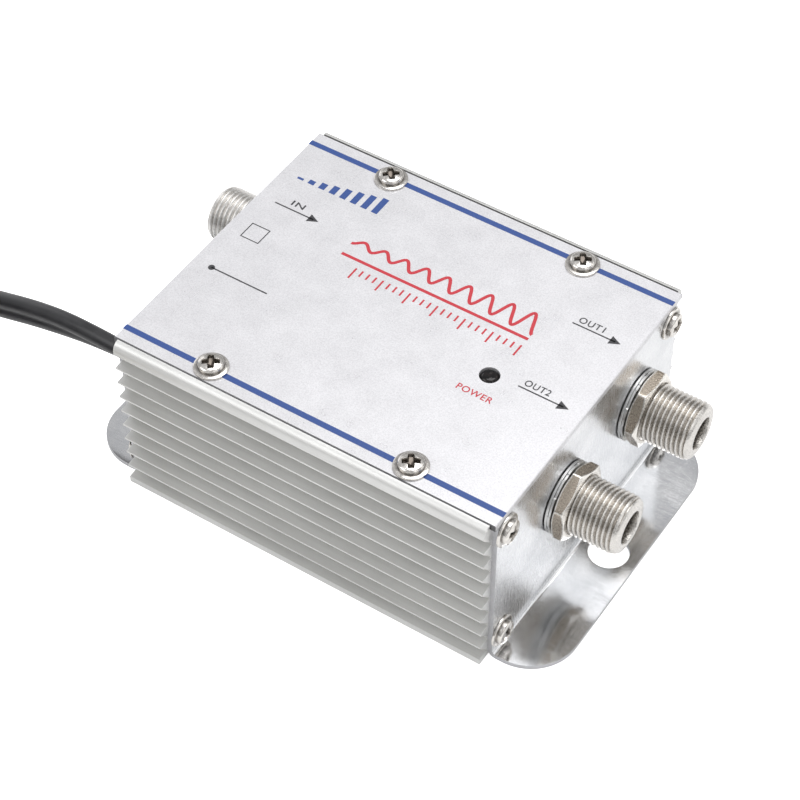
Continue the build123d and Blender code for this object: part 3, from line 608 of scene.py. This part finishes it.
def add_nuts():
    shell = Shell()
    inner = NUT_CORNER - NUT_CHAMFER_REACH
    for (label, side, y), turn in zip(PORTS, NUT_TURNS):
        place = facing(side, y, PORT_HEIGHT, CASE_END + NUT_SEAT) @ Matrix.Rotation(radians(turn), 4, "Z")

        def rise(angle):
            return NUT_CHAMFER * max(hexagon_radius(angle) - inner, 0) / NUT_CHAMFER_REACH

        def inner_radius(angle):
            return min(inner, hexagon_radius(angle))

        # Painted highlights: the chamfer edges and the hexagon's corners take the light tone, while the
        # middle of each flat and the bore take the darker, shaded tone.
        edges = ((0, 1.0), (NUT_EDGE, 1.0), (2 * NUT_EDGE, 0.1))
        sides = [(hexagon_radius, lambda angle, up=up: rise(angle) + up, value) for up, value in edges]
        for down, value in reversed(edges):
            sides.append((hexagon_radius, lambda angle, down=down: NUT_THICKNESS - rise(angle) - down, value))
        levels = (
            (lambda angle: NUT_BORE, lambda angle: NUT_BORE_CHAMFER, 0.3),
            (lambda angle: NUT_BORE + NUT_BORE_CHAMFER, lambda angle: 0, 0.6),
            (inner_radius, lambda angle: 0, 0.8),
            *sides,
            (inner_radius, lambda angle: NUT_THICKNESS, 0.8),
            (lambda angle: NUT_BORE + NUT_BORE_CHAMFER, lambda angle: NUT_THICKNESS, 0.6),
            (lambda angle: NUT_BORE, lambda angle: NUT_THICKNESS - NUT_BORE_CHAMFER, 0.3),
        )
        rows = [ring(radius, height, NUT_SIDES) for radius, height, value in levels]
        values = []
        for _, _, value in levels:
            values.append([value if j % (NUT_SIDES // 6) else 1.0 for j in range(NUT_SIDES)])
        shell.grid(rows, values, place, closed_across=True)
    nuts = shell.piece("hexagon_nuts", NUT, 24.0)
    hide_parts("connector_nuts")


add_nuts()

# Washers: a flat one with rounded edges, and a toothed one whose teeth are twisted
WASHER_SEAT = 0.95 * MM
WASHER_RADIUS = 5.95 * MM
WASHER_BORE = 4.85 * MM
WASHER_THICKNESS = 0.40 * MM
WASHER_ROUND = 0.05 * MM
LOCK_SEAT = 1.42 * MM
LOCK_THICKNESS = 0.34 * MM
LOCK_BODY = 5.80 * MM
LOCK_REACH = 5.95 * MM
LOCK_TEETH = 12
LOCK_TOOTH_SHARE = 0.62
LOCK_TWIST = 0.03 * MM
LOCK_ROOT = LOCK_BODY - 0.05 * MM
LOCK_TURNS = (4.0, 11.0, 17.0)
WASHER_SIDES = 240


def add_flat_washers():
    shell = Shell()
    top = WASHER_SEAT + WASHER_THICKNESS
    profile = (
        (WASHER_BORE, WASHER_SEAT),
        (WASHER_RADIUS - WASHER_ROUND, WASHER_SEAT),
        (WASHER_RADIUS, WASHER_SEAT + WASHER_ROUND),
        (WASHER_RADIUS, top - WASHER_ROUND),
        (WASHER_RADIUS - WASHER_ROUND, top),
        (WASHER_BORE, top),
    )
    for label, side, y in PORTS:
        rows = [ring(lambda angle: radius, lambda angle: height, WASHER_SIDES) for radius, height in profile]
        values = [[1.0] * WASHER_SIDES for _ in profile]
        shell.grid(rows, values, facing(side, y, PORT_HEIGHT, CASE_END), closed_across=True)
    made = shell.piece("flat_washers", WASHER)
    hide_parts("connector_flat_washers")


def add_lock_washers():
    shell = Shell()

    def share(angle):
        """From -1 to 1 across a tooth, or nothing between two teeth."""
        turn = angle * LOCK_TEETH / (2 * pi) % 1 - 0.5
        return 2 * turn / LOCK_TOOTH_SHARE if abs(turn) < LOCK_TOOTH_SHARE / 2 else None

    def reach(angle):
        return LOCK_BODY if share(angle) is None else LOCK_REACH

    def twist(angle):
        return LOCK_TWIST * (share(angle) or 0)

    for (label, side, y), turn in zip(PORTS, LOCK_TURNS):
        place = facing(side, y, PORT_HEIGHT, CASE_END + LOCK_SEAT) @ Matrix.Rotation(radians(turn), 4, "Z")
        rows, values = [], []
        for radius, level, value in (
            (lambda angle: WASHER_BORE, lambda angle: 0, 0.3),
            (lambda angle: LOCK_ROOT, lambda angle: 0, 0.5),
            (reach, twist, 0.8),
            (reach, lambda angle: twist(angle) + LOCK_THICKNESS, 1.0),
            (lambda angle: LOCK_ROOT, lambda angle: LOCK_THICKNESS, 0.5),
            (lambda angle: WASHER_BORE, lambda angle: LOCK_THICKNESS, 0.3),
        ):
            rows.append(ring(radius, level, WASHER_SIDES))
            values.append([value] * WASHER_SIDES)
        shell.grid(rows, values, place, closed_across=True)
    made = shell.piece("toothed_washers", WASHER)
    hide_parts("connector_lock_washers")


add_flat_washers()
add_lock_washers()

# Pan head screws with a rim and a tapered cross recess
RIM_RADIUS = 2.72 * MM
RIM_HEIGHT = 0.42 * MM
HEAD_RADIUS = 1.98 * MM
HEAD_HEIGHT = 1.45 * MM
HEAD_CROWN = 0.92 * MM
SHANK_RADIUS = 1.45 * MM
RECESS_HALF = 1.36 * MM
RECESS_WING = 0.45 * MM
RECESS_DEPTH = 1.05 * MM
RECESS_WALL = 0.16 * MM
RECESS_FLARE = 0.25
RECESS_CONE = 0.45
DOME_STEPS = 12
COVER_SCREW_LENGTH = 5.5 * MM
PLATE_SCREW_LENGTH = 8.0 * MM
COVER_SCREW_TURNS = (35.0, 41.0, 33.0, 31.0)
PLATE_SCREW_TURNS = (15.0, 60.0, 38.0, 80.0)
SCREW_SIDES = 144
RECESS_RINGS = 48


def recess_depth(x, y):
    """How deep the cross recess is at a point of the head, and how far into it that point lies."""
    across, along = sorted((abs(x), abs(y)))
    wing = RECESS_WING * (1 + RECESS_FLARE * max(1 - along / RECESS_HALF, 0))
    inside = min(wing - across, RECESS_HALF - along)
    if inside <= 0:
        return 0.0, 0.0
    share = min(inside / RECESS_WALL, 1)
    floor = RECESS_DEPTH * (1 - RECESS_CONE * hypot(x, y) / RECESS_HALF)
    return floor * share, share


def add_screw(shell, place, length):
    def plain(radius, height, value):
        rows.append(ring(lambda angle: radius, lambda angle: height, SCREW_SIDES))
        values.append([value] * SCREW_SIDES)

    rows, values = [], []
    first = len(shell.points)
    # Painted shade in the crease at the rim's foot and where the head meets the rim; painted highlight on the
    # rim's top.
    for radius, height, value in (
        (SHANK_RADIUS, -length, 0.7),
        (SHANK_RADIUS, 0, 0.7),
        (RIM_RADIUS - 0.06 * MM, 0, 0.3),
        (RIM_RADIUS, 0.06 * MM, 0.7),
        (RIM_RADIUS, RIM_HEIGHT * 0.55, 1.0),
        (RIM_RADIUS - 0.07 * MM, RIM_HEIGHT * 0.82, 1.0),
        (RIM_RADIUS - 0.20 * MM, RIM_HEIGHT * 0.95, 0.9),
        (HEAD_RADIUS + 0.04 * MM, RIM_HEIGHT, 0.25),
        (HEAD_RADIUS, RIM_HEIGHT + 0.05 * MM, 0.35),
    ):
        plain(radius, height, value)
    dome = HEAD_HEIGHT - HEAD_CROWN
    for step in range(DOME_STEPS - 1):
        angle = pi / 2 * step / DOME_STEPS
        plain(HEAD_RADIUS * cos(angle) ** 0.9, HEAD_CROWN + dome * sin(angle), 0.95)
    start = hypot(*rows[-1][0][:2])
    while start < RECESS_HALF + 0.1 * MM:
        rows.pop()
        values.pop()
        start = hypot(*rows[-1][0][:2])
    for number in range(1, RECESS_RINGS):
        radius = start * (1 - number / RECESS_RINGS)
        row, row_values = [], []
        for j in range(SCREW_SIDES):
            angle = 2 * pi * j / SCREW_SIDES
            x, y = radius * cos(angle), radius * sin(angle)
            surface = HEAD_CROWN + dome * sqrt(max(1 - (radius / HEAD_RADIUS) ** 2, 0))
            depth, share = recess_depth(x, y)
            row.append((x, y, surface - depth))
            # Painted shade: the recess is coloured darker the further into it a point lies.
            row_values.append(1.0 - 0.95 * share)
        rows.append(row)
        values.append(row_values)
    shell.grid(rows, values, place)
    last = len(shell.points) - SCREW_SIDES
    shell.fan(range(first, first + SCREW_SIDES), (0, 0, -length), 0.7, place, flip=True)
    # The middle of the recess floor is painted darkest, as shade.
    shell.fan(range(last, last + SCREW_SIDES), (0, 0, HEAD_HEIGHT - RECESS_DEPTH), 0.0, place)


COVER_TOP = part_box("top_cover")[1].z
PLATE_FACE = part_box("top_cover")[1].x
COVER_SCREW_X = 17.5 * MM
COVER_SCREW_Y = 24.1 * MM
CHANNEL_HALF = 23.9 * MM
CHANNEL_HEIGHTS = (4.2 * MM, 27.8 * MM)


def add_screws():
    shell = Shell()
    corners = [(i * COVER_SCREW_X, j * COVER_SCREW_Y) for i in (-1, 1) for j in (-1, 1)]
    for (x, y), turn in zip(corners, COVER_SCREW_TURNS):
        place = Matrix.Translation((x, y, COVER_TOP)) @ Matrix.Rotation(radians(turn), 4, "Z")
        add_screw(shell, place, COVER_SCREW_LENGTH)
    made = shell.piece("cover_pan_screws", SCREW, 35.0)
    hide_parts("cover_screws")
    for name, side in (("output", 1), ("input", -1)):
        shell = Shell()
        places = [(i * CHANNEL_HALF, height) for i in (-1, 1) for height in CHANNEL_HEIGHTS]
        for (y, z), turn in zip(places, PLATE_SCREW_TURNS):
            place = facing(side, y, z, PLATE_FACE) @ Matrix.Rotation(radians(turn), 4, "Z")
            add_screw(shell, place, PLATE_SCREW_LENGTH)
        made = shell.piece(name + "_plate_pan_screws", SCREW, 35.0)
        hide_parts(name + "_plate_screws")


add_screws()

# Print on the cover, a thin layer of ink
INK_THICKNESS = 0.02 * MM
LINE_WIDTH = 0.24 * MM
STRIPE_END = PLATE_FACE - 0.02 * MM
STRIPE_Y = 24.4 * MM
STRIPE_WIDTH = 1.0 * MM
RULE_LEFT, RULE_RIGHT = -14.8 * MM, 18.6 * MM
WAVE_Y = 9.3 * MM
WAVE_SMALL, WAVE_LARGE = 0.5 * MM, 2.1 * MM
WAVE_COUNT = 9
WAVE_STEPS = 360
WAVE_LINE = 0.55 * MM
SCALE_LEFT, SCALE_RIGHT = -11.0 * MM, 18.4 * MM
SCALE_TOP = 4.6 * MM
SCALE_TALL, SCALE_SHORT = 2.4 * MM, 1.3 * MM
SCALE_LINE = 0.3 * MM
SCALE_MARKS = 24
LEVEL_LEFT = -29.6 * MM
LEVEL_FOOT = 16.2 * MM
LEVEL_TALL = 3.7 * MM
LEVEL_PITCH = 2.0 * MM
LEVEL_WIDTH = 1.1 * MM
LEVEL_BARS = 8
ARROW_HEAD = 1.75 * MM
ARROW_HALF = 0.88 * MM
DISC_SIDES = 40
DISC_RADIUS = 0.55 * MM
RULE_Y = 6.15 * MM
# In millimetres: each arrow's left end, right end and Y, and each word's left, foot, height and width
ARROWS = ((-29.87, -21.71, 9.8), (22.37, 30.60, 12.75), (22.15, 30.70, -2.60))
NOTE_LEFT, NOTE_RIGHT, NOTE_Y = -29.70 * MM, -19.37 * MM, -7.32 * MM
SQUARE_X, SQUARE_Y = -28.42 * MM, 2.40 * MM
SQUARE_SIZE, SQUARE_LINE = 3.25 * MM, 0.17 * MM
WORDS = (
    ("word_in", "IN", (-27.55, 10.70, 1.15, 2.3), "dark"),
    ("word_out_1", "OUT1", (22.95, 13.35, 1.25, 4.3), "dark"),
    ("word_out_2", "OUT2", (22.70, -2.00, 1.25, 4.3), "dark"),
    ("word_power", "POWER", (14.65, -7.90, 1.20, 6.0), "red"),
)
LETTER_HEIGHT = 0.73
LETTER_SPACING = 1.12
LETTER_WEIGHT = 0.02 * MM


def bar(shell, x0, y0, x1, y1, width):
    """A straight printed line between two points, in metres."""
    start, end = Vector((x0, y0)), Vector((x1, y1))
    along = (end - start).normalized()
    side = Vector((-along.y, along.x)) * width / 2
    shell.plate([start - side, end - side, end + side, start + side], COVER_TOP, COVER_TOP + INK_THICKNESS)


def arrow(shell, x0, x1, y):
    """A printed arrow along X with a filled head."""
    neck = x1 - ARROW_HEAD
    bar(shell, x0, y, x1 - ARROW_HEAD / 2, y, LINE_WIDTH)
    outline = [(neck, y - ARROW_HALF), (x1, y), (neck, y + ARROW_HALF)]
    shell.plate(outline, COVER_TOP, COVER_TOP + INK_THICKNESS)


def disc(shell, x, y, radius):
    angles = [2 * pi * j / DISC_SIDES for j in range(DISC_SIDES)]
    outline = [(x + radius * cos(angle), y + radius * sin(angle)) for angle in angles]
    shell.plate(outline, COVER_TOP, COVER_TOP + INK_THICKNESS)


def square(shell, x, y, size, width):
    """A printed square frame with its middle at x, y."""
    half = size / 2
    for i in (-1, 1):
        bar(shell, x - half - width / 2, y + i * half, x + half + width / 2, y + i * half, width)
        bar(shell, x + i * half, y - half + width / 2, x + i * half, y + half - width / 2, width)


def wave(shell):
    """A plain wave that grows from left to right, drawn as one ribbon."""
    centre = []
    for step in range(WAVE_STEPS + 1):
        share = step / WAVE_STEPS
        swing = WAVE_SMALL + (WAVE_LARGE - WAVE_SMALL) * share
        x = RULE_LEFT + (RULE_RIGHT - RULE_LEFT) * share
        centre.append(Vector((x, WAVE_Y - swing * cos(2 * pi * WAVE_COUNT * share))))
    upper, lower = [], []
    for before, point, after in zip([centre[0]] + centre, centre, centre[1:] + [centre[-1]]):
        along = (after - before).normalized()
        side = Vector((-along.y, along.x)) * WAVE_LINE / 2
        upper.append(point + side)
        lower.append(point - side)
    for i in range(WAVE_STEPS):
        shell.plate([lower[i], lower[i + 1], upper[i + 1], upper[i]], COVER_TOP, COVER_TOP + INK_THICKNESS)


def scale_marks(shell):
    """A row of plain marks under the rule, every fourth one taller."""
    for number in range(SCALE_MARKS + 1):
        x = SCALE_LEFT + (SCALE_RIGHT - SCALE_LEFT) * number / SCALE_MARKS
        tall = SCALE_TALL if number % 4 == 0 else SCALE_SHORT
        bar(shell, x, SCALE_TOP - tall, x, SCALE_TOP, SCALE_LINE)


def level_bars(shell):
    """Plain bars that rise from left to right."""
    for number in range(LEVEL_BARS):
        share = (number + 1) / LEVEL_BARS
        x = LEVEL_LEFT + LEVEL_PITCH * number
        bar(shell, x, LEVEL_FOOT, x, LEVEL_FOOT + LEVEL_TALL * share, LEVEL_WIDTH)


def words(name, text, x, y, height, width, ink):
    """A printed word with its lower left corner at x, y."""
    curve = bpy.data.curves.new(name, "FONT")
    curve.body = text
    curve.size = height / LETTER_HEIGHT
    curve.space_character = LETTER_SPACING
    curve.offset = LETTER_WEIGHT
    flat = bpy.data.objects.new(name, curve)
    bpy.context.scene.collection.objects.link(flat)
    bpy.context.view_layer.update()
    mesh = bpy.data.meshes.new_from_object(flat)
    bpy.data.objects.remove(flat)
    left = min(vertex.co.x for vertex in mesh.vertices)
    right = max(vertex.co.x for vertex in mesh.vertices)
    for vertex in mesh.vertices:
        across = (vertex.co.x - left) * width / (right - left)
        vertex.co = (x + across, y + vertex.co.y, COVER_TOP + INK_THICKNESS)
    mesh.materials.clear()
    mesh.materials.append(ink)
    made = bpy.data.objects.new(name, mesh)
    bpy.context.scene.collection.objects.link(made)
    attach(made, "root")


def add_print():
    dark, red, blue = Shell(), Shell(), Shell()
    for i in (-1, 1):
        bar(blue, -STRIPE_END, i * STRIPE_Y, STRIPE_END, i * STRIPE_Y, STRIPE_WIDTH)
    for left, right, y in ARROWS:
        arrow(dark, left * MM, right * MM, y * MM)
    disc(dark, NOTE_LEFT, NOTE_Y, DISC_RADIUS)
    bar(dark, NOTE_LEFT, NOTE_Y, NOTE_RIGHT, NOTE_Y, LINE_WIDTH)
    square(dark, SQUARE_X, SQUARE_Y, SQUARE_SIZE, SQUARE_LINE)
    bar(red, RULE_LEFT, RULE_Y, RULE_RIGHT, RULE_Y, WAVE_LINE)
    wave(red)
    scale_marks(red)
    level_bars(blue)
    for name, shell in (("dark", dark), ("red", red), ("blue", blue)):
        made = shell.piece("print_" + name, INK[name])
    for name, text, (x, y, height, width), ink in WORDS:
        words(name, text, x * MM, y * MM, height * MM, width * MM, INK[ink])


add_print()

# Finishes of the CAD nodes that stay
FINISHES = {
    "housing": CASE,
    "top_cover": COVER,
    "output_end_plate": PLATE,
    "input_end_plate": PLATE,
    "connector_insulators": plain_finish("insulator_grey", (0.20, 0.18, 0.16), 0.5),
    "connector_contacts": plain_finish("contact_metal", (0.75, 0.70, 0.60), 0.3, metallic=1.0),
    "power_lamp": lens_finish(),
    "power_lamp_leads": plain_finish("tinned_wire", (0.72, 0.70, 0.68), 0.3, metallic=1.0),
    "circuit_board": plain_finish("board_phenolic", (0.40, 0.26, 0.10), 0.35, grain_mm=0.6),
    "board_insulating_sheet": plain_finish("fish_paper", (0.50, 0.52, 0.48), 0.7),
    "transformer_core": plain_finish("core_steel", (0.33, 0.32, 0.31), 0.45, metallic=0.9),
    "transformer_bobbin": plain_finish("bobbin_nylon", (0.72, 0.69, 0.60), 0.4),
    "transformer_windings": plain_finish("winding_tape", (0.60, 0.46, 0.08), 0.35),
    "transformer_pins": plain_finish("pin_metal", (0.72, 0.70, 0.68), 0.3, metallic=1.0),
    "rectifier_diodes": plain_finish("diode_black", (0.03, 0.03, 0.03), 0.4),
    "input_fuse": plain_finish("fuse_tan", (0.55, 0.33, 0.16), 0.3),
    "resistors": plain_finish("resistor_tan", (0.58, 0.38, 0.20), 0.35),
    "smoothing_capacitors": plain_finish("capacitor_sleeve", (0.03, 0.05, 0.16), 0.3),
    "ceramic_capacitors": plain_finish("ceramic_tan", (0.66, 0.36, 0.12), 0.35),
    "voltage_regulator": plain_finish("regulator_black", (0.03, 0.03, 0.03), 0.45),
    "amplifier_transistors": plain_finish("transistor_black", (0.035, 0.035, 0.035), 0.4),
    "rf_coils": plain_finish("copper_wire", (0.72, 0.34, 0.16), 0.3, metallic=1.0),
    "splitter_core": plain_finish("ferrite", (0.10, 0.10, 0.11), 0.55),
    "cord_grommet": CORD,
    "cord_leads": plain_finish("wire_brown", (0.20, 0.08, 0.03), 0.4),
    "coil_tie": plain_finish("tie_black", (0.03, 0.03, 0.03), 0.5),
    "plug_body": plain_finish("plug_black", (0.025, 0.025, 0.027), 0.4),
    "plug_pins": plain_finish("blade_brass", (0.78, 0.70, 0.50), 0.25, metallic=1.0),
}
for node, material in FINISHES.items():
    mesh = nodes[node].data
    mesh.materials.clear()
    mesh.materials.append(material)


# The sheared faces lie under the first height, and further out than the bend
RIM_TOP = 0.82 * MM
BEND_END = 35.3 * MM


def finish_rims():
    """The sheared rims of both plates and of their holes are duller than the sheet's faces."""
    for name in ("output_end_plate", "input_end_plate"):
        mesh = nodes[name].data
        mesh.materials.append(PLATE_RIM)
        for face in mesh.polygons:
            on_flange = abs(face.normal.z) < 0.3 and face.center.z < RIM_TOP and abs(face.center.x) > BEND_END
            if on_flange or abs(face.normal.y) > 0.9:
                face.material_index = 1


finish_rims()


# Stage: a pale floor, soft lamps and an even world
FLOOR_HALF = 3.0
FLOOR_LEVEL = -0.05 * MM
SKY_SPAN = (0.25, 0.95)
SKY_LOW, SKY_HIGH = 0.42, 0.68
# Name, azimuth, elevation, distance, size and power
LAMPS = (
    ("key", 180, 73, 0.9, 0.50, 3.4),
    ("back", 150, 44, 0.9, 0.36, 0.35),
    ("low_back", 122, 22, 0.9, 0.40, 0.45),
    ("left", -112, 20, 0.9, 0.40, 0.55),
    ("side", -40, 42, 0.9, 0.5, 2.0),
    ("fill", 70, 40, 1.1, 0.6, 1.2),
)
LAMP_AIM = mm(0, 0, 15)


def add_floor():
    corners = [(i * FLOOR_HALF, j * FLOOR_HALF, FLOOR_LEVEL) for i, j in ((-1, -1), (1, -1), (1, 1), (-1, 1))]
    mesh = bpy.data.meshes.new("floor")
    mesh.from_pydata(corners, [], [(0, 1, 2, 3)])
    mesh.materials.append(floor_finish())
    floor = bpy.data.objects.new("floor", mesh)
    bpy.context.scene.collection.objects.link(floor)


def add_lamp(name, azimuth, elevation, distance, size, power):
    """A soft square lamp round the object, aimed at the case."""
    turn, rise = radians(azimuth), radians(elevation)
    back = Vector((sin(turn) * cos(rise), -cos(turn) * cos(rise), sin(rise)))
    lamp = bpy.data.lights.new(name, "AREA")
    lamp.size = size
    lamp.energy = power
    made = bpy.data.objects.new(name, lamp)
    made.location = LAMP_AIM + back * distance
    made.rotation_mode = "QUATERNION"
    made.rotation_quaternion = (-back).to_track_quat("-Z", "Y")
    bpy.context.scene.collection.objects.link(made)


def add_world():
    """An even sky that is darker near the horizon, so bare metal has something to show."""
    world = bpy.data.worlds.new("world")
    bpy.context.scene.world = world
    world.use_nodes = True
    tree = world.node_tree
    back = tree.nodes["Background"]
    coordinates = tree.nodes.new("ShaderNodeTexCoord")
    split = tree.nodes.new("ShaderNodeSeparateXYZ")
    ramp = tree.nodes.new("ShaderNodeValToRGB")
    tree.links.new(coordinates.outputs["Generated"], split.inputs[0])
    tree.links.new(split.outputs["Z"], ramp.inputs["Fac"])
    tree.links.new(ramp.outputs["Color"], back.inputs["Color"])
    ramp.color_ramp.elements[0].position, ramp.color_ramp.elements[1].position = SKY_SPAN
    ramp.color_ramp.elements[0].color = (SKY_LOW, SKY_LOW, SKY_LOW, 1)
    ramp.color_ramp.elements[1].color = (SKY_HIGH, SKY_HIGH, SKY_HIGH * 1.02, 1)


add_floor()
for lamp in LAMPS:
    add_lamp(*lamp)
add_world()
